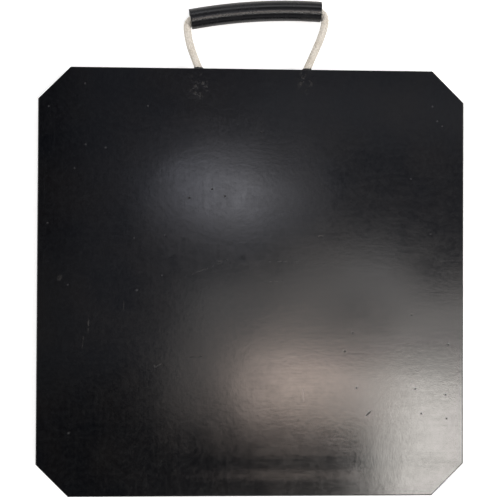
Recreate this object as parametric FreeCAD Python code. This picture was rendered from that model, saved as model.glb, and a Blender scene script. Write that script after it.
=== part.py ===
import FreeCAD, Part
import math
import os

from FreeCAD import Vector

# A jack base plate: a square slab of moulded rubber with its corners cut off at 45 degrees. A rope
# handle is moulded into one wall of it, and a piece of rubber hose on the rope is the grip.
#
# Millimetres. The origin is at the middle of the slab's underside, +Z is up, and the handle lies on
# the +Y side. "Out" is the distance out of the slab's handle wall.

# Slab
plate_width = 400.0
plate_depth = 400.0
plate_thickness = 25.0
corner_cut = 30.0
edge_round = 1.0

# Rope, and the overhand knot that holds each end of it inside the slab
rope_diameter = 7.6
knot_diameter = 17.0
knot_length = 14.0

# Rubber round the rope. It was moulded round the knots, and at the wall it creeps up the rope in a
# flared collar, which is widest at the wall and ends in a lip
mould_gap = 0.1
collar_base_diameter = 11.0
collar_lip = 0.5
collar_height = 2.4
collar_root = 0.5
collar_flare_power = 1.35
collar_ring_count = 4

# Grip: a straight-cut piece of hose that keeps the bend of the coil it was cut from
grip_outer_diameter = 19.4
grip_wall = 3.0
grip_length = 125.0
grip_bend_radius = 500.0
grip_middle_x = 3.1
grip_middle_out = 57.0
grip_tilt_deg = 4.1

# The rope's route from the left knot to the right one, as (x, out, z)
rope_route = [
    (-47.8, -19.5, 12.5),
    (-47.4, -6.0, 12.5),
    (-57.0, 17.0, 11.8),
    (-60.9, 31.0, 10.8),
    (-61.8, 43.7, 9.8),
    (-57.9, 49.0, 9.3),
    (-46.0, 51.5, 8.4),
    (-21.5, 55.2, 7.3),
    (27.5, 58.8, 7.2),
    (52.6, 58.5, 8.3),
    (65.1, 57.8, 9.3),
    (69.8, 51.9, 9.8),
    (68.0, 38.5, 10.6),
    (58.6, 16.5, 11.8),
    (48.2, -6.0, 12.5),
    (48.2, -19.5, 12.5),
]
# Each bend is an arc that takes this share of the shorter run beside it
arc_share = 0.45

handle_wall = plate_depth / 2
rope_radius = rope_diameter / 2
grip_bore_diameter = grip_outer_diameter - 2 * grip_wall
route = [Vector(x, handle_wall + out, z) for x, out, z in rope_route]


def octagon_slab():
    """The slab alone, with crisp corners and rounded top and bottom edges."""
    half_x = plate_width / 2
    half_y = plate_depth / 2
    corners = []
    for sx, sy in ((1, 1), (-1, 1), (-1, -1), (1, -1)):
        on_y_wall = Vector(sx * (half_x - corner_cut), sy * half_y, 0)
        on_x_wall = Vector(sx * half_x, sy * (half_y - corner_cut), 0)
        corners += [on_x_wall, on_y_wall] if sx * sy > 0 else [on_y_wall, on_x_wall]
    outline = Part.makePolygon(corners + corners[:1])
    slab = Part.Face(outline).extrude(Vector(0, 0, plate_thickness))
    level = [edge for edge in slab.Edges if edge.BoundBox.ZLength < plate_thickness / 2]
    return slab.makeFillet(edge_round, level)


def rope_path():
    """The rope's middle line, as straight runs joined by tangent arcs, and the arcs' radii."""
    edges = []
    radii = []
    run_start = route[0]
    for before, here, after in zip(route, route[1:], route[2:]):
        back = before - here
        ahead = after - here
        half_turn = (math.pi - back.getAngle(ahead)) / 2
        tangent = arc_share * min(back.Length, ahead.Length)
        radius = tangent / math.tan(half_turn)
        back.normalize()
        ahead.normalize()
        inward = (back + ahead).normalize()
        arc_start = here + back * tangent
        arc_end = here + ahead * tangent
        arc_middle = here + inward * (radius / math.cos(half_turn) - radius)
        edges.append(Part.LineSegment(run_start, arc_start).toShape())
        edges.append(Part.Arc(arc_start, arc_middle, arc_end).toShape())
        radii.append(radius)
        run_start = arc_end
    edges.append(Part.LineSegment(run_start, route[-1]).toShape())
    return Part.Wire(edges), radii


def rope_tube(path, radius):
    """A plain round tube along the rope's middle line."""
    section = Part.Wire(Part.makeCircle(radius, route[0], route[1] - route[0]))
    return path.makePipeShell([section], True, False)


def stopper_knot(middle, along, extra):
    """The outer shape of the knot at an end of the rope, larger by extra all round."""
    along = Vector(along).normalize()
    half = knot_length / 2 + extra
    return Part.makeCylinder(knot_diameter / 2 + extra, 2 * half, middle - along * half, along)


def rope_pieces(path, extra):
    """The rope's tube and its two knots. With extra they are the space that they fill in the slab."""
    return [
        rope_tube(path, rope_radius + extra),
        stopper_knot(route[0], route[1] - route[0], extra),
        stopper_knot(route[-1], route[-2] - route[-1], extra),
    ]


def carry_rope(path):
    """The rope, one length from knot to knot."""
    tube, left_knot, right_knot = rope_pieces(path, 0.0)
    return tube.fuse(left_knot).fuse(right_knot)


def wall_crossings():
    """The two runs of the rope that cross the handle wall, each from its inner point to its outer one."""
    crossings = []
    for start, end in zip(route, route[1:]):
        inside, outside = sorted((start, end), key=lambda point: point.y)
        if inside.y < handle_wall < outside.y:
            crossings.append((inside, outside))
    return crossings


def collar(inside, outside):
    """The rubber that creeps up the rope where it leaves the wall, leaning with the rope's run."""
    run = outside - inside
    top_radius = rope_radius + mould_gap + collar_lip
    base_radius = collar_base_diameter / 2
    rings = []
    for ring in range(collar_ring_count):
        share = ring / (collar_ring_count - 1)
        out = share * collar_height - (1 - share) * collar_root
        radius = top_radius + (base_radius - top_radius) * (1 - share) ** collar_flare_power
        middle = inside + run * ((handle_wall + out - inside.y) / run.y)
        rings.append(Part.Wire(Part.makeCircle(radius, middle, Vector(0, 1, 0))))
    return Part.makeLoft(rings, True)


def base_plate(path):
    """The slab with a collar and a socket for each end of the rope."""
    slab = octagon_slab()
    for inside, outside in wall_crossings():
        slab = slab.fuse(collar(inside, outside))
    for space in rope_pieces(path, mould_gap):
        slab = slab.cut(space)
    return slab


def hose_grip():
    """The hose: a ring swept round the centre of its bend, and cut straight across at both ends."""
    tilt = math.radians(grip_tilt_deg)
    spread_deg = math.degrees(grip_length / grip_bend_radius)
    axis_height = grip_outer_diameter / 2
    middle = Vector(grip_middle_x, handle_wall + grip_middle_out, axis_height)
    centre = middle - Vector(-math.sin(tilt), math.cos(tilt), 0) * grip_bend_radius
    end_angle = math.radians(90 + grip_tilt_deg - spread_deg / 2)
    across = Vector(math.cos(end_angle), math.sin(end_angle), 0)
    end_middle = centre + across * grip_bend_radius
    along = Vector(-across.y, across.x, 0)
    swept = []
    for diameter in (grip_outer_diameter, grip_bore_diameter):
        disc = Part.Face(Part.Wire(Part.makeCircle(diameter / 2, end_middle, along)))
        swept.append(disc.revolve(centre, Vector(0, 0, 1), spread_deg))
    hose, bore = swept
    return hose.cut(bore)


def report(path, radii, shapes):
    """Prints the figures that show whether the rope and the solids came out right."""
    tube = rope_tube(path, rope_radius)
    expected = math.pi * rope_radius**2 * path.Length
    print("rope length %.1f, tube volume / section x length %.4f" % (path.Length, tube.Volume / expected))
    print("arc radii in rope diameters:", " ".join("%.1f" % (r / rope_diameter) for r in radii))
    for name, shape in shapes.items():
        print(name, "valid", shape.isValid(), "solids", len(shape.Solids), "volume %.0f" % shape.Volume)


path, radii = rope_path()
shapes = {
    "base_plate": base_plate(path),
    "carry_rope": carry_rope(path),
    "hose_grip": hose_grip(),
}
report(path, radii, shapes)
os.makedirs("parts", exist_ok=True)
for name, shape in shapes.items():
    shape.exportStep("parts/%s.step" % name)
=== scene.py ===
"""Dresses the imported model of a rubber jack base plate: slab, braided rope handle and hose grip.

Everything is in metres, in the frame of the CAD model: the slab's underside lies on z = 0 with its
middle at the origin, and the rope handle is on the +Y side.
"""
import math

import bpy
from bpy.props import FloatProperty, FloatVectorProperty, IntProperty, PointerProperty
from mathutils import Euler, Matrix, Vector


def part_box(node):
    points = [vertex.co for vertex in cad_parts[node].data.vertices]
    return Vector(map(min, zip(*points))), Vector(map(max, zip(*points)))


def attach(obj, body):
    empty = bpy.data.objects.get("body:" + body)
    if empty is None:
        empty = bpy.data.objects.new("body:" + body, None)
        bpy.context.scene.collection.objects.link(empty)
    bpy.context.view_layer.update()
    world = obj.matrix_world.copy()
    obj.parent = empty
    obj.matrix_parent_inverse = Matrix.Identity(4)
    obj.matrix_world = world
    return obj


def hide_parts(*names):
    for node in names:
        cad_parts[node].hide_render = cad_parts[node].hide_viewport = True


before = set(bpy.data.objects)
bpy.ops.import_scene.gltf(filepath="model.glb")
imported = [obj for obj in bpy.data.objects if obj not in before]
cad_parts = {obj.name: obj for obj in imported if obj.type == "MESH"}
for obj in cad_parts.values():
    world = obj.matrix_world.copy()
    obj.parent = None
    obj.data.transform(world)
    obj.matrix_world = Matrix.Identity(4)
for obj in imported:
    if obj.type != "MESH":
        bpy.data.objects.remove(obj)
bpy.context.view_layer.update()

bl_info = {
    "name": "Jack Base Plate",
    "version": (1, 0, 0),
    "blender": (4, 5, 0),
    "location": "3D View > Sidebar > Base Plate",
    "description": "Builds the rope handle, hose grip, rubber finishes and stage of a jack base plate",
    "category": "Object",
}

MM = 0.001
SLAB_LOW, SLAB_HIGH = (Vector(corner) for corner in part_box("base_plate"))
SLAB_TOP = SLAB_HIGH.z
FRONT_WALL = SLAB_LOW.y
# The slab is centred, so its handle wall is as far out as its front wall
HANDLE_WALL = -FRONT_WALL

# The rope's route from one buried end to the other: x, distance out of the handle wall, and z, in mm
ROPE_ROUTE_MM = [
    (-47.8, -19.5, 12.5),
    (-47.4, -6.0, 12.5),
    (-57.0, 17.0, 11.8),
    (-60.9, 31.0, 10.8),
    (-62.0, 43.9, 9.8),
    (-58.0, 49.2, 9.3),
    (-46.0, 51.5, 8.4),
    (-21.5, 55.2, 7.3),
    (27.5, 58.8, 7.2),
    (52.6, 58.5, 8.3),
    (65.2, 58.0, 9.3),
    (70.0, 52.1, 9.8),
    (68.0, 38.5, 10.6),
    (58.6, 16.5, 11.8),
    (48.2, -6.0, 12.5),
    (48.2, -19.5, 12.5),
]

# Flaws of the slab's top face, each as x, y, length and width in mm and turn in degrees
DUST_SPOTS = [
    (-155.6, 127.5, 2.2, 2.0, 0), (-137.1, 124.7, 2.2, 2.2, 0), (-165.8, 105.2, 2.0, 2.0, 0),
    (-190.0, 162.8, 2.0, 1.8, 0), (-190.5, 54.2, 2.0, 2.0, 0), (-171.4, -3.3, 1.8, 1.8, 0),
    (-107.4, -8.0, 3.2, 2.4, 20), (-84.2, 5.9, 1.8, 1.8, 0), (-169.5, -140.7, 3.0, 2.4, 30),
    (170.1, 166.5, 2.0, 2.0, 0), (174.7, 152.6, 2.2, 1.8, 0), (179.4, 147.9, 1.8, 1.8, 0),
    (149.7, 97.8, 1.8, 1.8, 0), (168.3, 45.8, 2.0, 1.8, 0), (-98.1, 164.1, 2.2, 2.0, 0),
    (-156.6, 184.5, 2.0, 2.0, 0), (-81.9, 43.4, 2.0, 1.6, 0), (-110.2, 40.6, 1.8, 1.8, 0),
]
PALE_SCRATCHES = [
    (48.5, -104.5, 17.0, 1.3, 89), (43.9, -131.4, 11.0, 1.1, 78), (28.0, 19.4, 50.0, 1.0, 1),
    (20.0, 0.4, 30.0, 0.9, 0), (-49.4, 9.7, 62.0, 1.1, 22), (-26.6, 19.9, 14.0, 1.6, 8),
    (-19.2, 17.0, 9.0, 1.4, 80), (-152.0, -39.5, 19.0, 1.5, 88), (-119.4, -22.8, 12.0, 1.1, 90),
    (-178.8, 3.2, 6.6, 5.2, 60), (150.5, -95.0, 9.0, 1.2, 75), (-157.0, -56.0, 14.0, 1.2, 84),
]
DARK_NICKS = [
    (87.5, -64.6, 2.4, 2.2, 0), (94.9, -47.0, 2.2, 2.0, 0), (98.6, -98.9, 1.8, 1.8, 0),
    (154.3, -99.9, 2.0, 1.8, 0), (185.5, -58.1, 2.6, 2.2, 0), (150.6, -30.3, 1.8, 1.6, 0),
    (183.1, -105.4, 1.8, 1.8, 0), (159.9, -123.1, 2.0, 1.8, 0), (184.0, -127.7, 1.8, 1.8, 0),
    (-37.8, 86.7, 2.0, 1.8, 0), (-25.7, 80.2, 1.8, 1.8, 0), (-59.1, 78.3, 2.4, 1.8, 30),
    (8.6, 140.5, 2.0, 1.8, 0), (109.8, -123.1, 8.0, 1.9, 42), (64.3, 43.1, 5.0, 1.5, 0),
    (-89.6, -79.0, 4.0, 1.5, -40), (-86.0, -77.6, 7.0, 1.3, 24), (-52.2, -70.2, 15.0, 1.2, 3),
]
# Where the rubber lies thin over the rope's two knots
KNOT_SCARS = [(-51.0, 183.0, 26.0, 31.0, 0), (49.5, 188.0, 22.0, 30.0, 0)]

# The kinds of node that the materials and the trees use most
MATH = "ShaderNodeMath"
VECTOR = "ShaderNodeVectorMath"
RANGE = "ShaderNodeMapRange"
MIX = "ShaderNodeMix"
NOISE = "ShaderNodeTexNoise"
BUMP = "ShaderNodeBump"
STORE = "GeometryNodeStoreNamedAttribute"


def linear(hex_colour):
    """The linear RGBA of an sRGB hex colour."""
    channels = [int(hex_colour[start:start + 2], 16) / 255 for start in (1, 3, 5)]
    return (*(c / 12.92 if c <= 0.04045 else ((c + 0.055) / 1.055) ** 2.4 for c in channels), 1.0)


def add_node(tree, kind, inputs=None, **settings):
    """Adds a node with its settings. Each input takes a value, a socket, or a node's first output."""
    node = tree.nodes.new(kind)
    for name, value in settings.items():
        setattr(node, name, value)
    for key, value in (inputs or {}).items():
        if isinstance(value, bpy.types.Node):
            value = value.outputs[0]
        if isinstance(value, bpy.types.NodeSocket):
            tree.links.new(value, node.inputs[key])
        else:
            node.inputs[key].default_value = value
    return node


def new_material(name):
    """An empty node material and its tree."""
    material = bpy.data.materials.new(name)
    material.use_nodes = True
    material.node_tree.nodes.clear()
    return material, material.node_tree


def made_mesh(holder, name):
    """The evaluated shape of an object as a plain mesh."""
    bpy.context.view_layer.update()
    evaluated = holder.evaluated_get(bpy.context.evaluated_depsgraph_get())
    mesh = bpy.data.meshes.new_from_object(evaluated)
    mesh.name = name
    return mesh


def nodes_modifier(holder, tree, values):
    """Adds a Geometry Nodes modifier whose inputs are set by the identifiers of their sockets."""
    modifier = holder.modifiers.new(tree.name, "NODES")
    modifier.node_group = tree
    for item in tree.interface.items_tree:
        if item.in_out == "INPUT" and item.name in values:
            modifier[item.identifier] = values[item.name]
    return modifier


class StageSettings(bpy.types.PropertyGroup):
    """Floor and light of the stage."""

    floor_colour: FloatVectorProperty(
        name="Floor", description="Colour of the floor", subtype="COLOR", size=4, default=linear("#e8e8e8"))
    lamp_level: FloatProperty(
        name="Lamp level", description="Level of all the lamps together", default=1.0, min=0.0, max=4.0)


class RopeSettings(bpy.types.PropertyGroup):
    """Sizes and colour of the braided rope."""

    diameter: FloatProperty(
        name="Diameter", description="Diameter over the braid", default=7.6 * MM, subtype="DISTANCE",
        unit="LENGTH")
    pitch: FloatProperty(
        name="Pitch", description="Length of rope in which a strand goes round once", default=24 * MM,
        subtype="DISTANCE", unit="LENGTH")
    strands_each_way: IntProperty(
        name="Strands each way", description="Strands that turn left, and as many that turn right",
        default=8, min=4, max=16)
    strand_width: FloatProperty(
        name="Strand width", description="Width of a flattened strand", default=2.05 * MM,
        subtype="DISTANCE", unit="LENGTH")
    strand_thickness: FloatProperty(
        name="Strand thickness", description="Thickness of a flattened strand", default=1.0 * MM,
        subtype="DISTANCE", unit="LENGTH")
    colour: FloatVectorProperty(
        name="Colour", description="Off-white of the rope's yarn", subtype="COLOR", size=4,
        default=linear("#e9e4db"))


class HoseSettings(bpy.types.PropertyGroup):
    """Sizes and colour of the hose grip."""

    outer_diameter: FloatProperty(
        name="Outer diameter", description="Outside diameter of the hose", default=19.4 * MM,
        subtype="DISTANCE", unit="LENGTH")
    wall: FloatProperty(
        name="Wall", description="Thickness of the hose's wall", default=3 * MM, subtype="DISTANCE",
        unit="LENGTH")
    length: FloatProperty(
        name="Length", description="Length along the middle of the hose", default=125 * MM,
        subtype="DISTANCE", unit="LENGTH")
    bend_radius: FloatProperty(
        name="Bend radius", description="Radius of the bend that the hose keeps from its coil",
        default=500 * MM, subtype="DISTANCE", unit="LENGTH")
    colour: FloatVectorProperty(
        name="Colour", description="Black of the extruded rubber", subtype="COLOR", size=4,
        default=linear("#101012"))


class SlabSettings(bpy.types.PropertyGroup):
    """Finish of the moulded slab."""

    rubber_colour: FloatVectorProperty(
        name="Rubber", description="Black of the moulded rubber", subtype="COLOR", size=4,
        default=linear("#06070a"))
    bloom_colour: FloatVectorProperty(
        name="Bloom", description="Faint bloom on the moulded rubber", subtype="COLOR", size=4,
        default=linear("#0b0a0b"))
    roughness: FloatProperty(
        name="Roughness", description="Roughness of the slab's moulded skin", default=0.14, min=0.0, max=1.0)


def add_lamp(name, place, size, level, colour, target=None):
    """A rectangular lamp of a given radiance, which hangs level unless it has a target."""
    data = bpy.data.lights.new(name, "AREA")
    data.shape = "RECTANGLE"
    data.size, data.size_y = size
    data.energy = level * math.pi * size[0] * size[1]
    data.color = linear(colour)[:3]
    lamp = bpy.data.objects.new(name, data)
    lamp.location = place
    if target:
        lamp.rotation_euler = (Vector(target) - Vector(place)).to_track_quat("-Z", "Y").to_euler()
    bpy.context.collection.objects.link(lamp)


class BASEPLATE_OT_stage(bpy.types.Operator):
    """Adds the camera, the pale floor, the world and the lamps"""

    bl_idname = "base_plate.stage"
    bl_label = "Add stage"

    # The photograph's viewpoint: 1.2 m above the floor, a little left of the slab's middle
    camera_place = (-0.064486, 0.011065, 1.2)
    camera_turn = (0.015784, -0.053195, 0.004712)
    camera_lens = 90.508
    floor_half = 12.0
    # Strength of the floor's own glow for the camera, and in glossy and clear surfaces
    floor_seen = 0.6
    floor_mirrored = 0.1
    # The sky goes from its horizon to its ceiling between these heights of a unit direction
    horizon_height = 0.25
    ceiling_height = 0.6

    def execute(self, context):
        settings = context.scene.base_plate_stage
        self.add_camera(context)
        self.add_floor(context, settings)
        self.add_world(context)
        self.add_lamps(settings)
        context.scene.view_settings.view_transform = "Standard"
        return {"FINISHED"}

    def add_camera(self, context):
        """The camera at the photograph's viewpoint."""
        data = bpy.data.cameras.new("photograph_view")
        data.sensor_width = 36.0
        data.lens = self.camera_lens
        data.clip_end = 50.0
        camera = bpy.data.objects.new("photograph_view", data)
        camera.location = self.camera_place
        camera.rotation_euler = Euler(self.camera_turn)
        context.collection.objects.link(camera)
        context.scene.camera = camera

    def add_floor(self, context, settings):
        """A wide pale floor. It looks white to the camera and in reflections, and keeps the shadow."""
        half = self.floor_half
        mesh = bpy.data.meshes.new("floor")
        corners = [(-half, -half, 0), (half, -half, 0), (half, half, 0), (-half, half, 0)]
        mesh.from_pydata(corners, [], [(0, 1, 2, 3)])
        floor = bpy.data.objects.new("floor", mesh)
        context.collection.objects.link(floor)
        # Matt painted board: even, pale and without gloss
        material, tree = new_material("matt_painted_board")
        path = add_node(tree, "ShaderNodeLightPath").outputs
        mirrored = add_node(tree, MATH, {0: path["Is Glossy Ray"], 1: path["Is Transmission Ray"]},
                            operation="MAXIMUM")
        mirrored_glow = add_node(tree, MATH, {0: mirrored, 1: self.floor_mirrored}, operation="MULTIPLY")
        glow = add_node(tree, MATH, {0: path["Is Camera Ray"], 1: self.floor_seen, 2: mirrored_glow},
                        operation="MULTIPLY_ADD")
        board = add_node(tree, "ShaderNodeBsdfDiffuse", {"Color": settings.floor_colour})
        light = add_node(tree, "ShaderNodeEmission", {"Strength": glow})
        both = add_node(tree, "ShaderNodeAddShader", {0: board, 1: light})
        add_node(tree, "ShaderNodeOutputMaterial", {"Surface": both})
        mesh.materials.append(material)

    def add_world(self, context):
        """A pale horizon under a dark ceiling, which keeps the slab's flat top dark from above."""
        world = bpy.data.worlds.new("studio")
        world.use_nodes = True
        tree = world.node_tree
        tree.nodes.clear()
        direction = add_node(tree, "ShaderNodeTexCoord").outputs["Generated"]
        height = add_node(tree, "ShaderNodeSeparateXYZ", {0: direction}).outputs["Z"]
        share = add_node(tree, RANGE, {0: height, 1: self.horizon_height, 2: self.ceiling_height},
                         interpolation_type="SMOOTHSTEP")
        sky = add_node(tree, MIX, {0: share, 6: linear("#a8a8ac"), 7: linear("#1c1d22")}, data_type="RGBA")
        background = add_node(tree, "ShaderNodeBackground", {"Color": sky.outputs[2], "Strength": 1.0})
        add_node(tree, "ShaderNodeOutputWorld", {"Surface": background})
        context.scene.world = world

    def add_lamps(self, settings):
        """Level panels overhead, which the slab mirrors, and side boxes that it doesn't mirror."""
        level = settings.lamp_level
        top = 2.0
        side = 1.6
        far = 1.75
        add_lamp("key_panel", (0.56, -0.45, top), (0.22, 0.40), 17.0 * level, "#fffaf4")
        add_lamp("key_side_panel", (0.80, -0.43, top), (0.30, 0.36), 10.0 * level, "#fffaf4")
        add_lamp("warm_panel", (0.21, -0.275, top), (0.24, 0.14), 12.0 * level, "#ffeadd")
        add_lamp("warm_strip", (0.38, -0.285, top), (0.22, 0.14), 8.6 * level, "#fff0e6")
        add_lamp("long_strip", (0.60, -0.25, top), (1.40, 0.20), 1.4 * level, "#fff8f4")
        add_lamp("middle_panel", (0.27, -0.15, top), (0.16, 0.40), 2.0 * level, "#fffaf6")
        add_lamp("left_panel", (0.10, -0.08, top), (0.30, 0.15), 1.5 * level, "#fffdfc")
        add_lamp("left_edge_panel", (-0.42, -0.13, top), (0.16, 0.34), 0.14 * level, "#fffdfc")
        add_lamp("upper_panel", (0.42, 0.0, top), (0.15, 0.10), 3.4 * level, "#fffdfc")
        add_lamp("right_panel", (0.65, -0.125, top), (0.40, 0.15), 4.0 * level, "#fffaf6")
        add_lamp("glow_panel", (0.06, 0.20, top), (0.12, 0.13), 5.4 * level, "#f6f6ff")
        add_lamp("glow_left_panel", (-0.05, 0.215, top), (0.10, 0.12), 3.6 * level, "#eef0ff")
        add_lamp("glow_right_panel", (0.19, 0.20, top), (0.14, 0.13), 1.9 * level, "#f6f6ff")
        add_lamp("grip_panel", (0.14, -0.87, top), (0.48, 0.22), 8.8 * level, "#fffdfa")
        add_lamp("back_strip", (0.55, 0.42, top), (0.90, 0.15), 0.47 * level, "#f2f4ff")
        add_lamp("ceiling_panel", (0.25, 0.40, top), (1.20, 1.30), 0.2 * level, "#eceeff")
        slab_middle = (0.0, 0.0, 0.0)
        add_lamp("right_box", (2.2, 0.2, side), (1.6, 1.6), 6.0 * level, "#fffcf8", slab_middle)
        add_lamp("left_box", (-2.2, 0.2, side), (1.6, 1.6), 4.2 * level, "#fffcf8", slab_middle)
        add_lamp("far_box", (0.0, 2.2, far), (3.0, 0.8), 1.5 * level, "#fbfcff", slab_middle)


def braid_tree():
    """A Geometry Nodes tree that braids flattened strands round a core along a route of edges."""
    # How far a strand rises and dips, as a share of its thickness, and how deep the core lies below that
    rise_share = 0.4
    core_share = 0.6
    strand_sides = 8
    core_sides = 24
    core_points = 220

    tree = bpy.data.node_groups.new("maypole_braid", "GeometryNodeTree")
    face = tree.interface
    face.new_socket("Route", in_out="INPUT", socket_type="NodeSocketGeometry")
    for name in ("Diameter", "Pitch", "Strand Width", "Strand Thickness"):
        face.new_socket(name, in_out="INPUT", socket_type="NodeSocketFloat")
    for name in ("Strands Each Way", "Points"):
        face.new_socket(name, in_out="INPUT", socket_type="NodeSocketInt")
    face.new_socket("Material", in_out="INPUT", socket_type="NodeSocketMaterial")
    face.new_socket("Braid", in_out="OUTPUT", socket_type="NodeSocketGeometry")
    given = add_node(tree, "NodeGroupInput").outputs

    route = add_node(tree, "GeometryNodeMeshToCurve", {0: given["Route"]})
    even = add_node(tree, "GeometryNodeResampleCurve", {"Curve": route, "Count": given["Points"]})
    amount = add_node(tree, MATH, {0: given["Strands Each Way"], 1: 2.0}, operation="MULTIPLY")
    copies = add_node(tree, "GeometryNodeDuplicateElements", {0: even, "Amount": amount}, domain="SPLINE")
    number = add_node(tree, "GeometryNodeCaptureAttribute", domain="CURVE")
    number.capture_items.new("FLOAT", "Number")
    tree.links.new(copies.outputs[0], number.inputs[0])
    tree.links.new(copies.outputs["Duplicate Index"], number.inputs[1])

    # Even strands turn one way and odd ones the other, spread evenly round the rope
    odd = add_node(tree, MATH, {0: number.outputs[1], 1: 2.0}, operation="MODULO")
    way = add_node(tree, MATH, {0: odd, 1: -2.0, 2: 1.0}, operation="MULTIPLY_ADD")
    half_number = add_node(tree, MATH, {0: number.outputs[1], 1: 2.0}, operation="DIVIDE")
    place = add_node(tree, MATH, {0: half_number}, operation="FLOOR")
    start_share = add_node(tree, MATH, {0: place, 1: given["Strands Each Way"]}, operation="DIVIDE")
    start = add_node(tree, MATH, {0: start_share, 1: math.tau}, operation="MULTIPLY")
    along = add_node(tree, "GeometryNodeSplineParameter").outputs["Length"]
    turns = add_node(tree, MATH, {0: along, 1: given["Pitch"]}, operation="DIVIDE")
    turned = add_node(tree, MATH, {0: turns, 1: math.tau}, operation="MULTIPLY")
    angle = add_node(tree, MATH, {0: way, 1: turned, 2: start}, operation="MULTIPLY_ADD")

    # A strand goes over two and under two, which depends only on where it is round the rope
    columns = add_node(tree, MATH, {0: given["Strands Each Way"], 1: 2.0}, operation="DIVIDE")
    phase = add_node(tree, MATH, {0: angle, 1: columns, 2: -math.pi / 4}, operation="MULTIPLY_ADD")
    wave = add_node(tree, MATH, {0: phase}, operation="COSINE")
    over = add_node(tree, MATH, {0: way, 1: wave}, operation="MULTIPLY")
    depth = add_node(tree, MATH, {0: given["Strand Thickness"], 1: rise_share}, operation="MULTIPLY")
    rope_radius = add_node(tree, MATH, {0: given["Diameter"], 1: 2.0}, operation="DIVIDE")
    outside = add_node(tree, MATH, {0: rope_radius, 1: depth}, operation="SUBTRACT")
    middle = add_node(tree, MATH, {0: given["Strand Thickness"], 1: -0.5, 2: outside},
                      operation="MULTIPLY_ADD")
    radius = add_node(tree, MATH, {0: over, 1: depth, 2: middle}, operation="MULTIPLY_ADD")

    normal = add_node(tree, "GeometryNodeInputNormal")
    tangent = add_node(tree, "GeometryNodeInputTangent")
    side = add_node(tree, VECTOR, {0: tangent, 1: normal}, operation="CROSS_PRODUCT")
    cosine = add_node(tree, MATH, {0: angle}, operation="COSINE")
    sine = add_node(tree, MATH, {0: angle}, operation="SINE")
    normal_part = add_node(tree, VECTOR, {0: normal, "Scale": cosine}, operation="SCALE")
    side_part = add_node(tree, VECTOR, {0: side, "Scale": sine}, operation="SCALE")
    radial = add_node(tree, VECTOR, {0: normal_part, 1: side_part}, operation="ADD")
    offset = add_node(tree, VECTOR, {0: radial, "Scale": radius}, operation="SCALE")
    kept = add_node(tree, "GeometryNodeCaptureAttribute", domain="POINT")
    kept.capture_items.new("VECTOR", "Radial")
    kept.capture_items.new("FLOAT", "Over")
    tree.links.new(number.outputs[0], kept.inputs[0])
    tree.links.new(radial.outputs[0], kept.inputs[1])
    tree.links.new(over.outputs[0], kept.inputs[2])
    moved = add_node(tree, "GeometryNodeSetPosition", {"Geometry": kept, "Offset": offset})
    facing = add_node(tree, "GeometryNodeSetCurveNormal", {"Curve": moved, "Normal": kept.outputs[1]},
                      mode="FREE")
    named_over = add_node(tree, STORE, {"Geometry": facing, "Name": "over", "Value": kept.outputs[2]},
                          data_type="FLOAT", domain="POINT")
    strand_along = add_node(tree, "GeometryNodeSplineParameter").outputs["Length"]
    named_along = add_node(tree, STORE, {"Geometry": named_over, "Name": "along", "Value": strand_along},
                           data_type="FLOAT", domain="POINT")

    # The profile's X runs out of the rope, so a strand is thin in X and wide in Y
    ring = add_node(tree, "GeometryNodeCurvePrimitiveCircle", {"Resolution": strand_sides, "Radius": 1.0})
    thin = add_node(tree, MATH, {0: given["Strand Thickness"], 1: 2.0}, operation="DIVIDE")
    wide = add_node(tree, MATH, {0: given["Strand Width"], 1: 2.0}, operation="DIVIDE")
    size = add_node(tree, "ShaderNodeCombineXYZ", {0: thin, 1: wide, 2: 1.0})
    position = add_node(tree, "GeometryNodeInputPosition")
    across = add_node(tree, "ShaderNodeSeparateXYZ", {0: position}).outputs["Y"]
    marked = add_node(tree, STORE, {"Geometry": ring, "Name": "across", "Value": across},
                      data_type="FLOAT", domain="POINT")
    flat = add_node(tree, "GeometryNodeTransform", {"Geometry": marked, "Scale": size})
    strands = add_node(tree, "GeometryNodeCurveToMesh", {0: named_along, 1: flat, "Fill Caps": True})

    core_radius = add_node(tree, MATH, {0: depth, 1: -core_share, 2: middle}, operation="MULTIPLY_ADD")
    core_ring = add_node(tree, "GeometryNodeCurvePrimitiveCircle",
                         {"Resolution": core_sides, "Radius": core_radius})
    core_route = add_node(tree, "GeometryNodeResampleCurve", {"Curve": route, "Count": core_points})
    core = add_node(tree, "GeometryNodeCurveToMesh", {0: core_route, 1: core_ring, "Fill Caps": True})
    # The core lies under every strand, so it takes the yarn's full painted shade
    core_over = add_node(tree, STORE, {"Geometry": core, "Name": "over", "Value": -1.0},
                         data_type="FLOAT", domain="POINT")
    joined = add_node(tree, "GeometryNodeJoinGeometry", {0: core_over})
    tree.links.new(strands.outputs[0], joined.inputs[0])
    smooth = add_node(tree, "GeometryNodeSetShadeSmooth", {0: joined, "Shade Smooth": True})
    real = add_node(tree, "GeometryNodeRealizeInstances", {0: smooth})
    dressed = add_node(tree, "GeometryNodeSetMaterial", {0: real, "Material": given["Material"]})
    add_node(tree, "NodeGroupOutput", {0: dressed})
    return tree


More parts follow.
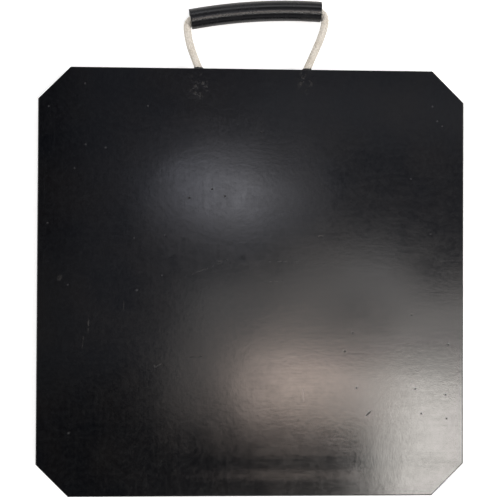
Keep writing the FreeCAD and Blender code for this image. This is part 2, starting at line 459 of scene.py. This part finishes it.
def yarn_material(colour):
    """Polypropylene yarn, braided: a soft off-white with fine fibres along each strand."""
    # Filaments are drawn 0.35 mm wide and 8 mm long, coarser than real ones, so that they show
    filaments_across = 3.0
    filament_length = 8 * MM
    soil_size = 9 * MM
    # The rope is darker over its first millimetres outside the wall, with a ragged edge
    wall_dark_full = 0.3 * MM
    wall_dark_end = 3.6 * MM
    wall_dark_ragged = 0.8 * MM
    wall_dark_edge_size = 2 * MM
    thread_height = 0.12 * MM

    material, tree = new_material("braided_polypropylene_yarn")
    across = add_node(tree, "ShaderNodeAttribute", attribute_name="across").outputs["Fac"]
    along = add_node(tree, "ShaderNodeAttribute", attribute_name="along").outputs["Fac"]
    over = add_node(tree, "ShaderNodeAttribute", attribute_name="over").outputs["Fac"]
    place = add_node(tree, "ShaderNodeTexCoord").outputs["Object"]
    fibre_x = add_node(tree, MATH, {0: across, 1: filaments_across}, operation="MULTIPLY")
    fibre_y = add_node(tree, MATH, {0: along, 1: filament_length}, operation="DIVIDE")
    fibre = add_node(tree, "ShaderNodeCombineXYZ", {0: fibre_x, 1: fibre_y})
    threads = add_node(tree, NOISE, {"Vector": fibre, "Scale": 1.0, "Detail": 2.0})
    soil = add_node(tree, NOISE, {"Vector": place, "Scale": 1 / soil_size, "Detail": 3.0})

    # Painted shade darkens the strands where they dip under others, and the core beneath them; the strands
    # are also soiled in patches by handling
    painted_shade_share = add_node(tree, RANGE, {0: over, 1: -0.9, 2: 0.5}, interpolation_type="SMOOTHSTEP")
    deep = add_node(tree, MIX, {0: painted_shade_share, 6: linear("#a99d8c"), 7: colour}, data_type="RGBA")
    soil_share = add_node(tree, RANGE, {0: soil, 1: 0.42, 2: 0.72, 3: 0.0, 4: 0.4})
    soiled = add_node(tree, MIX, {0: soil_share, 6: deep.outputs[2], 7: linear("#c3b7a4")},
                      data_type="RGBA")
    thread_share = add_node(tree, RANGE, {0: threads, 1: 0.35, 2: 0.65, 3: 0.2, 4: 0.0})
    spun = add_node(tree, MIX, {0: thread_share, 6: soiled.outputs[2], 7: linear("#9b8f80")},
                    data_type="RGBA")
    # The rope darkens towards the handle wall, from its first millimetres outside it
    y = add_node(tree, "ShaderNodeSeparateXYZ", {0: place}).outputs["Y"]
    out = add_node(tree, MATH, {0: y, 1: HANDLE_WALL}, operation="SUBTRACT")
    edge = add_node(tree, NOISE, {"Vector": place, "Scale": 1 / wall_dark_edge_size, "Detail": 2.0})
    shift = add_node(tree, RANGE, {0: edge, 1: 0.3, 2: 0.7, 3: -wall_dark_ragged, 4: wall_dark_ragged})
    ragged = add_node(tree, MATH, {0: out, 1: shift}, operation="ADD")
    wall_dark = add_node(tree, RANGE, {0: ragged, 1: wall_dark_full, 2: wall_dark_end, 3: 0.85, 4: 0.0},
                     interpolation_type="SMOOTHSTEP")
    darkened_at_wall = add_node(tree, MIX, {0: wall_dark, 6: spun.outputs[2], 7: linear("#2a2725")}, data_type="RGBA")
    relief = add_node(tree, BUMP, {"Height": threads, "Distance": thread_height, "Strength": 1.0})
    shader = add_node(tree, "ShaderNodeBsdfPrincipled", {
        "Base Color": darkened_at_wall.outputs[2], "Roughness": 0.62, "IOR": 1.49, "Normal": relief,
        "Sheen Weight": 0.15, "Sheen Roughness": 0.4})
    add_node(tree, "ShaderNodeOutputMaterial", {"Surface": shader})
    return material


class BASEPLATE_OT_rope(bpy.types.Operator):
    """Braids the rope handle along its route"""

    bl_idname = "base_plate.rope"
    bl_label = "Add rope"

    strand_points = 520
    curve_steps = 16

    def execute(self, context):
        settings = context.scene.base_plate_rope
        route = self.route_points(context)
        mesh = bpy.data.meshes.new("rope_route")
        mesh.from_pydata(route, [(i, i + 1) for i in range(len(route) - 1)], [])
        rope = bpy.data.objects.new("braided_rope", mesh)
        context.collection.objects.link(rope)
        modifier = nodes_modifier(rope, braid_tree(), {
            "Diameter": settings.diameter,
            "Pitch": settings.pitch,
            "Strand Width": settings.strand_width,
            "Strand Thickness": settings.strand_thickness,
            "Strands Each Way": settings.strands_each_way,
            "Points": self.strand_points,
            "Material": yarn_material(settings.colour),
        })
        braided = made_mesh(rope, "braided_rope")
        rope.modifiers.remove(modifier)
        rope.data = braided
        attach(rope, "root")
        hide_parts("carry_rope")
        return {"FINISHED"}

    def route_points(self, context):
        """Points along the smooth spline that the route's points control."""
        curve = bpy.data.curves.new("rope_route", "CURVE")
        curve.dimensions = "3D"
        curve.resolution_u = self.curve_steps
        spline = curve.splines.new("NURBS")
        spline.points.add(len(ROPE_ROUTE_MM) - 1)
        for point, (x, out, z) in zip(spline.points, ROPE_ROUTE_MM):
            point.co = (x * MM, HANDLE_WALL + out * MM, z * MM, 1.0)
        spline.order_u = 3
        spline.use_endpoint_u = True
        holder = bpy.data.objects.new("rope_route", curve)
        context.collection.objects.link(holder)
        line = made_mesh(holder, "rope_line")
        points = [tuple(vertex.co) for vertex in line.vertices]
        bpy.data.objects.remove(holder)
        return points


def hose_tree():
    """A Geometry Nodes tree that makes the outer skin of a hose along an arc."""
    arc_points = 64
    ring_points = 96

    tree = bpy.data.node_groups.new("bent_hose", "GeometryNodeTree")
    face = tree.interface
    for name in ("Outer Diameter", "Length", "Bend Radius", "Tilt"):
        face.new_socket(name, in_out="INPUT", socket_type="NodeSocketFloat")
    face.new_socket("Centre", in_out="INPUT", socket_type="NodeSocketVector")
    face.new_socket("Material", in_out="INPUT", socket_type="NodeSocketMaterial")
    face.new_socket("Hose", in_out="OUTPUT", socket_type="NodeSocketGeometry")
    given = add_node(tree, "NodeGroupInput").outputs
    spread = add_node(tree, MATH, {0: given["Length"], 1: given["Bend Radius"]}, operation="DIVIDE")
    middle_angle = add_node(tree, MATH, {0: given["Tilt"], 1: math.pi / 2}, operation="ADD")
    first = add_node(tree, MATH, {0: spread, 1: -0.5, 2: middle_angle}, operation="MULTIPLY_ADD")
    arc = add_node(tree, "GeometryNodeCurveArc",
                   {"Resolution": arc_points, "Radius": given["Bend Radius"], "Start Angle": first,
                    "Sweep Angle": spread}, mode="RADIUS")
    placed = add_node(tree, "GeometryNodeTransform", {"Geometry": arc, "Translation": given["Centre"]})
    radius = add_node(tree, MATH, {0: given["Outer Diameter"], 1: 2.0}, operation="DIVIDE")
    ring = add_node(tree, "GeometryNodeCurvePrimitiveCircle", {"Resolution": ring_points, "Radius": radius})
    skin = add_node(tree, "GeometryNodeCurveToMesh", {0: placed, 1: ring})
    smooth = add_node(tree, "GeometryNodeSetShadeSmooth", {0: skin, "Shade Smooth": True})
    real = add_node(tree, "GeometryNodeRealizeInstances", {0: smooth})
    dressed = add_node(tree, "GeometryNodeSetMaterial", {0: real, "Material": given["Material"]})
    add_node(tree, "NodeGroupOutput", {0: dressed})
    return tree


def hose_material(colour):
    """Extruded rubber hose: black and glossy, with faint draw lines along it."""
    draw_line_width = 1.2 * MM
    # The draw lines run along X, so the pattern is squeezed that way
    draw_line_squeeze = 0.06
    skin_size = 2.5 * MM
    scuff_size = 12 * MM
    # The relief is only a micron high, and just breaks up the edges of the reflections
    draw_line_height = 0.0008 * MM
    skin_height = 0.0007 * MM

    material, tree = new_material("extruded_black_rubber")
    place = add_node(tree, "ShaderNodeTexCoord").outputs["Object"]
    stretched = add_node(tree, "ShaderNodeMapping", {"Vector": place, "Scale": (draw_line_squeeze, 1.0, 1.0)})
    lines = add_node(tree, NOISE, {"Vector": stretched, "Scale": 1 / draw_line_width, "Detail": 2.0})
    skin = add_node(tree, NOISE, {"Vector": place, "Scale": 1 / skin_size, "Detail": 4.0})
    scuffs = add_node(tree, NOISE, {"Vector": place, "Scale": 1 / scuff_size, "Detail": 2.0})
    scuff_rough = add_node(tree, RANGE, {0: scuffs, 1: 0.35, 2: 0.65, 3: 0.2, 4: 0.27})
    skin_rough = add_node(tree, RANGE, {0: skin, 1: 0.3, 2: 0.7, 3: 0.0, 4: 0.04})
    rough = add_node(tree, MATH, {0: scuff_rough, 1: skin_rough}, operation="ADD")
    dusty = add_node(tree, MIX, {0: scuffs, 6: colour, 7: linear("#17171a")}, data_type="RGBA")
    line_relief = add_node(tree, BUMP, {"Height": lines, "Distance": draw_line_height, "Strength": 1.0})
    relief = add_node(tree, BUMP, {"Height": skin, "Distance": skin_height, "Strength": 1.0,
                                   "Normal": line_relief})
    shader = add_node(tree, "ShaderNodeBsdfPrincipled", {
        "Base Color": dusty.outputs[2], "Roughness": rough, "IOR": 1.52, "Normal": relief})
    add_node(tree, "ShaderNodeOutputMaterial", {"Surface": shader})
    return material


class BASEPLATE_OT_hose(bpy.types.Operator):
    """Makes the hose grip on the rope"""

    bl_idname = "base_plate.hose"
    bl_label = "Add hose grip"

    # Where the middle of the grip is, and its turn in plan
    middle_x = 3.1 * MM
    middle_out = 57.0 * MM
    tilt = math.radians(4.1)
    # Rounding of the cut edges, as a blade and handling leave them
    lip_round = 0.35 * MM
    lip_segments = 3
    lip_least_angle = math.radians(50)

    def execute(self, context):
        settings = context.scene.base_plate_hose
        across = Vector((-math.sin(self.tilt), math.cos(self.tilt), 0))
        middle = Vector((self.middle_x, HANDLE_WALL + self.middle_out, settings.outer_diameter / 2))
        holder = bpy.data.objects.new("hose_grip_dressed", bpy.data.meshes.new("hose_start"))
        context.collection.objects.link(holder)
        nodes_modifier(holder, hose_tree(), {
            "Outer Diameter": settings.outer_diameter,
            "Length": settings.length,
            "Bend Radius": settings.bend_radius,
            "Tilt": self.tilt,
            "Centre": middle - across * settings.bend_radius,
            "Material": hose_material(settings.colour),
        })
        wall = holder.modifiers.new("wall", "SOLIDIFY")
        wall.thickness = settings.wall
        wall.offset = -1.0
        lips = holder.modifiers.new("lips", "BEVEL")
        lips.width = self.lip_round
        lips.segments = self.lip_segments
        lips.limit_method = "ANGLE"
        lips.angle_limit = self.lip_least_angle
        hose = made_mesh(holder, "hose_grip_dressed")
        holder.modifiers.clear()
        holder.data = hose
        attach(holder, "root")
        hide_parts("hose_grip")
        return {"FINISHED"}


def nearest_flaw(tree, place, flaws):
    """How near a point of the top face is to a flaw: 0 at a flaw's middle and 1 at its outline."""
    depth = 3 * MM
    nearest = None
    for x, y, length, width, turn in flaws:
        local = add_node(tree, "ShaderNodeMapping", {
            "Vector": place, "Location": (x * MM, y * MM, SLAB_TOP),
            "Rotation": (0.0, 0.0, math.radians(turn)),
            "Scale": (length * MM / 2, width * MM / 2, depth)}, vector_type="TEXTURE")
        reach = add_node(tree, VECTOR, {0: local}, operation="LENGTH").outputs["Value"]
        if nearest is None:
            nearest = reach
        else:
            nearest = add_node(tree, MATH, {0: nearest, 1: reach}, operation="MINIMUM").outputs[0]
    return nearest


def slab_material(settings):
    """Compression-moulded rubber: black, with an uneven sheen, flow marks, bloom and small flaws."""
    grain_size = 4 * MM
    # The mould's blasted texture is drawn 1.3 mm across, coarser than it is, so that it shows
    texture_size = 1.3 * MM
    crackle_size = 3.4 * MM
    bloom_size = 42 * MM
    haze_size = 11 * MM
    swell_size = 70 * MM
    # Flow and wiping left faint streaks, along Y on the left of the slab and along X on its right
    streak_width = 1.6 * MM
    streak_length = 34 * MM
    streaks_turn_from = -70 * MM
    streaks_turn_to = 50 * MM
    # The walls and the rounded edges are duller than the top, which the mould's lid pressed
    wall_dullness = 0.3
    # A shallow groove runs along the front edge, where the rubber shrank in the mould
    groove_in = 25.5 * MM
    groove_half = 13 * MM
    # How strongly dust and scratches colour the rubber at their middle, how strongly a nick marks it there,
    # and how dull a nick is
    dust_strength = 0.35
    scratch_strength = 0.15
    nick_strength = 0.7
    nick_dullness = 0.5
    # The mould's grain leaves a thin grey film
    film_strength = 0.22

    material, tree = new_material("compression_moulded_rubber")
    place = add_node(tree, "ShaderNodeTexCoord").outputs["Object"]
    axes = add_node(tree, "ShaderNodeSeparateXYZ", {0: place}).outputs
    grain = add_node(tree, NOISE, {"Vector": place, "Scale": 1 / grain_size, "Detail": 4.0,
                                   "Roughness": 0.65})
    texture = add_node(tree, NOISE, {"Vector": place, "Scale": 1 / texture_size, "Detail": 2.0})
    bloom = add_node(tree, NOISE, {"Vector": place, "W": 2.0, "Scale": 1 / bloom_size, "Detail": 4.0},
                     noise_dimensions="4D")
    haze = add_node(tree, NOISE, {"Vector": place, "W": 5.0, "Scale": 1 / haze_size, "Detail": 4.0,
                                  "Roughness": 0.6}, noise_dimensions="4D")
    swell = add_node(tree, NOISE, {"Vector": place, "W": 7.0, "Scale": 1 / swell_size, "Detail": 1.0},
                     noise_dimensions="4D")
    across = add_node(tree, "ShaderNodeMapping",
                      {"Vector": place, "Scale": (1 / streak_length, 1 / streak_width, 1 / streak_length)})
    along = add_node(tree, "ShaderNodeMapping",
                     {"Vector": place, "Scale": (1 / streak_width, 1 / streak_length, 1 / streak_length)})
    cross_streaks = add_node(tree, NOISE, {"Vector": across, "Scale": 1.0, "Detail": 2.0})
    long_streaks = add_node(tree, NOISE, {"Vector": along, "Scale": 1.0, "Detail": 2.0})
    right_share = add_node(tree, RANGE, {0: axes["X"], 1: streaks_turn_from, 2: streaks_turn_to},
                           interpolation_type="SMOOTHSTEP")
    streaks = add_node(tree, MIX, {0: right_share, 2: long_streaks, 3: cross_streaks})

    # Flaws: dust, pale scratches, dark nicks, and crackled rubber over the knots
    dust_reach = nearest_flaw(tree, place, DUST_SPOTS)
    dust = add_node(tree, RANGE, {0: dust_reach, 1: 0.2, 2: 1.2, 3: dust_strength, 4: 0.0})
    scratch_reach = nearest_flaw(tree, place, PALE_SCRATCHES)
    scratch = add_node(tree, RANGE, {0: scratch_reach, 1: 0.0, 2: 1.1, 3: scratch_strength, 4: 0.0})
    scratch_broken = add_node(tree, RANGE, {0: grain, 1: 0.38, 2: 0.6})
    worn = add_node(tree, MATH, {0: scratch, 1: scratch_broken}, operation="MULTIPLY")
    nick_reach = nearest_flaw(tree, place, DARK_NICKS)
    nick = add_node(tree, RANGE, {0: nick_reach, 1: 0.3, 2: 1.1, 3: nick_strength, 4: 0.0})
    scar_reach = nearest_flaw(tree, place, KNOT_SCARS)
    scar = add_node(tree, RANGE, {0: scar_reach, 1: 0.3, 2: 1.0, 3: 1.0, 4: 0.0})
    crackle_noise = add_node(tree, NOISE, {"Vector": place, "Scale": 1 / crackle_size, "Detail": 3.0,
                                           "Roughness": 0.7})
    crackle = add_node(tree, RANGE, {0: crackle_noise, 1: 0.5, 2: 0.75})
    flecks = add_node(tree, MATH, {0: crackle, 1: scar}, operation="MULTIPLY")

    bloom_share = add_node(tree, RANGE, {0: bloom, 1: 0.4, 2: 0.68})
    rubber = add_node(tree, MIX, {0: bloom_share, 6: settings.rubber_colour, 7: settings.bloom_colour},
                      data_type="RGBA")
    film_share = add_node(tree, RANGE, {0: grain, 1: 0.4, 2: 0.7, 3: 0.0, 4: film_strength})
    filmed = add_node(tree, MIX, {0: film_share, 6: rubber.outputs[2], 7: linear("#1c1e20")},
                      data_type="RGBA")
    dusty = add_node(tree, MIX, {0: dust, 6: filmed.outputs[2], 7: linear("#5c5c5e")}, data_type="RGBA")
    scratched = add_node(tree, MIX, {0: worn, 6: dusty.outputs[2], 7: linear("#8a8682")}, data_type="RGBA")
    coloured = add_node(tree, MIX, {0: flecks, 6: scratched.outputs[2], 7: linear("#3a3835")},
                        data_type="RGBA")

    # The sheen changes with the grain, the haze, the bloom and the streaks, and is lost in the nicks
    haze_rough = add_node(tree, RANGE, {0: haze, 1: 0.3, 2: 0.7, 3: -0.014, 4: 0.014})
    bloom_rough = add_node(tree, RANGE, {0: bloom, 1: 0.3, 2: 0.7, 3: -0.012, 4: 0.012})
    streak_rough = add_node(tree, RANGE, {0: streaks, 1: 0.3, 2: 0.7, 3: -0.011, 4: 0.011})
    grain_rough = add_node(tree, RANGE, {0: grain, 1: 0.3, 2: 0.7, 3: -0.017, 4: 0.017})
    broad = add_node(tree, MATH, {0: haze_rough, 1: bloom_rough}, operation="ADD")
    small = add_node(tree, MATH, {0: streak_rough, 1: grain_rough}, operation="ADD")
    change = add_node(tree, MATH, {0: broad, 1: small}, operation="ADD")
    skin_rough = add_node(tree, MATH, {0: change, 1: settings.roughness}, operation="ADD")
    nick_rough = add_node(tree, MATH, {0: nick, 1: nick_dullness}, operation="MULTIPLY")
    flawed_rough = add_node(tree, MATH, {0: skin_rough, 1: nick_rough}, operation="ADD")
    facing = add_node(tree, "ShaderNodeNewGeometry").outputs["Normal"]
    upward = add_node(tree, "ShaderNodeSeparateXYZ", {0: facing}).outputs["Z"]
    dullness = add_node(tree, RANGE, {0: upward, 1: 0.7, 2: 0.98, 3: wall_dullness, 4: 0.0})
    rough = add_node(tree, MATH, {0: flawed_rough, 1: dullness}, operation="ADD")

    edge_distance = add_node(tree, MATH, {0: axes["Y"], 1: FRONT_WALL + groove_in}, operation="SUBTRACT")
    from_groove = add_node(tree, MATH, {0: edge_distance}, operation="ABSOLUTE")
    groove = add_node(tree, RANGE, {0: from_groove, 1: 0.0, 2: groove_half},
                      interpolation_type="SMOOTHSTEP")
    # Each pattern with its relief in mm: all stand out of the skin, but the nicks go in
    relief = None
    for height, depth in ((swell, 0.22), (groove, 0.14), (streaks, 0.006), (grain, 0.035), (texture, 0.014),
                          (flecks, 0.06), (nick, -0.05)):
        inputs = {"Height": height, "Distance": abs(depth) * MM, "Strength": 1.0}
        if relief:
            inputs["Normal"] = relief
        relief = add_node(tree, BUMP, inputs, invert=depth < 0)
    shader = add_node(tree, "ShaderNodeBsdfPrincipled", {
        "Base Color": coloured.outputs[2], "Roughness": rough, "IOR": 1.5, "Normal": relief})
    add_node(tree, "ShaderNodeOutputMaterial", {"Surface": shader})
    return material


class BASEPLATE_OT_slab(bpy.types.Operator):
    """Gives the slab its moulded rubber finish"""

    bl_idname = "base_plate.slab"
    bl_label = "Finish slab"

    def execute(self, context):
        slab = bpy.data.objects["base_plate"]
        slab.data.materials.clear()
        slab.data.materials.append(slab_material(context.scene.base_plate_slab))
        return {"FINISHED"}


class BASEPLATE_PT_panel(bpy.types.Panel):
    """Sizes, colours and steps of the base plate"""

    bl_idname = "BASEPLATE_PT_panel"
    bl_label = "Jack Base Plate"
    bl_space_type = "VIEW_3D"
    bl_region_type = "UI"
    bl_category = "Base Plate"

    def draw(self, context):
        scene = context.scene
        for title, settings, operator in (
                ("Stage", scene.base_plate_stage, BASEPLATE_OT_stage),
                ("Rope", scene.base_plate_rope, BASEPLATE_OT_rope),
                ("Hose grip", scene.base_plate_hose, BASEPLATE_OT_hose),
                ("Slab", scene.base_plate_slab, BASEPLATE_OT_slab)):
            box = self.layout.box()
            box.label(text=title)
            for name in settings.__annotations__:
                box.prop(settings, name)
            box.operator(operator.bl_idname)


SETTINGS = {
    "base_plate_stage": StageSettings,
    "base_plate_rope": RopeSettings,
    "base_plate_hose": HoseSettings,
    "base_plate_slab": SlabSettings,
}
STEPS = (BASEPLATE_OT_stage, BASEPLATE_OT_rope, BASEPLATE_OT_hose, BASEPLATE_OT_slab, BASEPLATE_PT_panel)


def register():
    """Registers the settings, the steps and the panel."""
    for cls in (*SETTINGS.values(), *STEPS):
        bpy.utils.register_class(cls)
    for name, cls in SETTINGS.items():
        setattr(bpy.types.Scene, name, PointerProperty(type=cls))


def unregister():
    """Takes the settings, the steps and the panel away again."""
    for name in SETTINGS:
        delattr(bpy.types.Scene, name)
    for cls in reversed((*SETTINGS.values(), *STEPS)):
        bpy.utils.unregister_class(cls)


def main():
    """Builds everything."""
    register()
    bpy.ops.base_plate.stage()
    bpy.ops.base_plate.rope()
    bpy.ops.base_plate.hose()
    bpy.ops.base_plate.slab()


if __name__ == "__main__":
    main()
